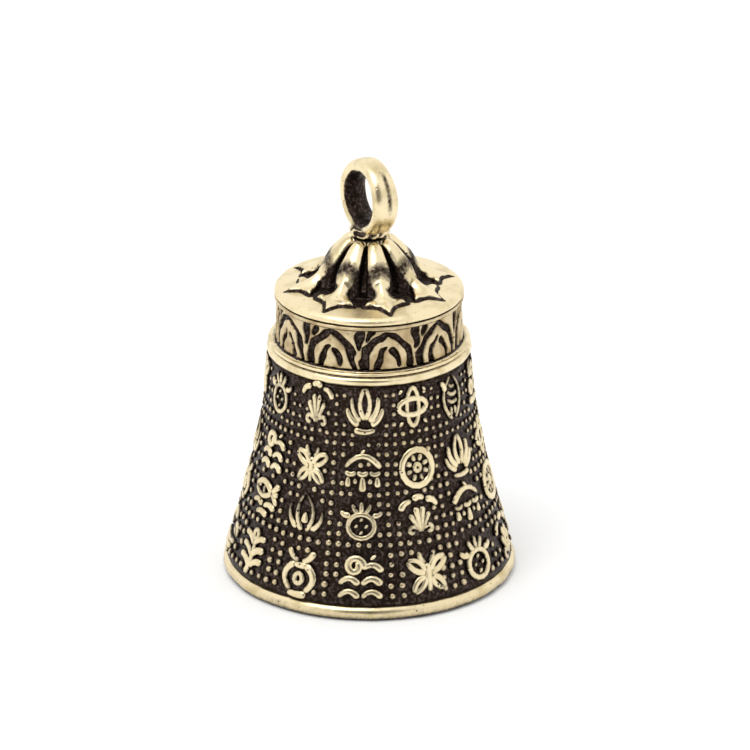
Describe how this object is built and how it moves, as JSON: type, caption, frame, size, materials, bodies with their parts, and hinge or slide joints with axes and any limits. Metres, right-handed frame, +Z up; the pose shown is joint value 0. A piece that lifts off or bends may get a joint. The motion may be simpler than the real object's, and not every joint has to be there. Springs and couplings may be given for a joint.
{
  "type": "temple bell",
  "caption": "Small cast brass temple bell with a flared skirt, waist ring, domed cap, lotus crown, hanging loop and a clapper that swings inside on a jump ring.",
  "frame": {"origin": "centre of the mouth's plane, which the bell stands on", "axes": "+Z up along the bell's axis, towards the loop; the loop's hole runs along Y"},
  "size_m": [0.022, 0.022, 0.0325],
  "materials": {
    "polished_rim": "hand polished over a brown patina, worn bright on the edge",
    "patina_skirt": "dark brown oxidised ground with the raised work rubbed bright",
    "polished_ring": "polished bead with a dark groove",
    "worn_drum": "matt raised scrolls rubbed bright over dark channels",
    "polished_cap": "polished, with fine casting pits",
    "worn_crown": "polished ridges with dark patina between the tines",
    "polished_loop": "polished outside, dark and rough inside",
    "inner_brass": "dull drawn brass",
    "clapper_brass": "dull turned brass, worn bright where it strikes"
  },
  "bodies": {
    "bell": {"mouth_rim": "polished_rim", "bell_skirt": "patina_skirt", "waist_ring": "polished_ring", "shoulder_drum": "worn_drum", "shoulder_cap": "polished_cap", "lotus_crown": "worn_crown", "suspension_loop": "polished_loop", "crown_washer": "inner_brass", "shank_nut": "inner_brass", "clapper_eye": "inner_brass"},
    "jump_ring": {"clapper_link": "inner_brass"},
    "clapper": {"clapper_rod": "inner_brass", "clapper_ball": "clapper_brass", "clapper_cap_nut": "clapper_brass"}
  },
  "joints": [
    {"name": "ring_swing", "type": "hinge", "parent": "bell", "child": "jump_ring", "pos_m": [0, 0, 0.01688], "axis": [1, 0, 0], "range_deg": [-19, 19]},
    {"name": "clapper_swing", "type": "hinge", "parent": "jump_ring", "child": "clapper", "pos_m": [0, 0, 0.01459], "axis": [0, 1, 0], "range_deg": [-19, 19]}
  ]
}
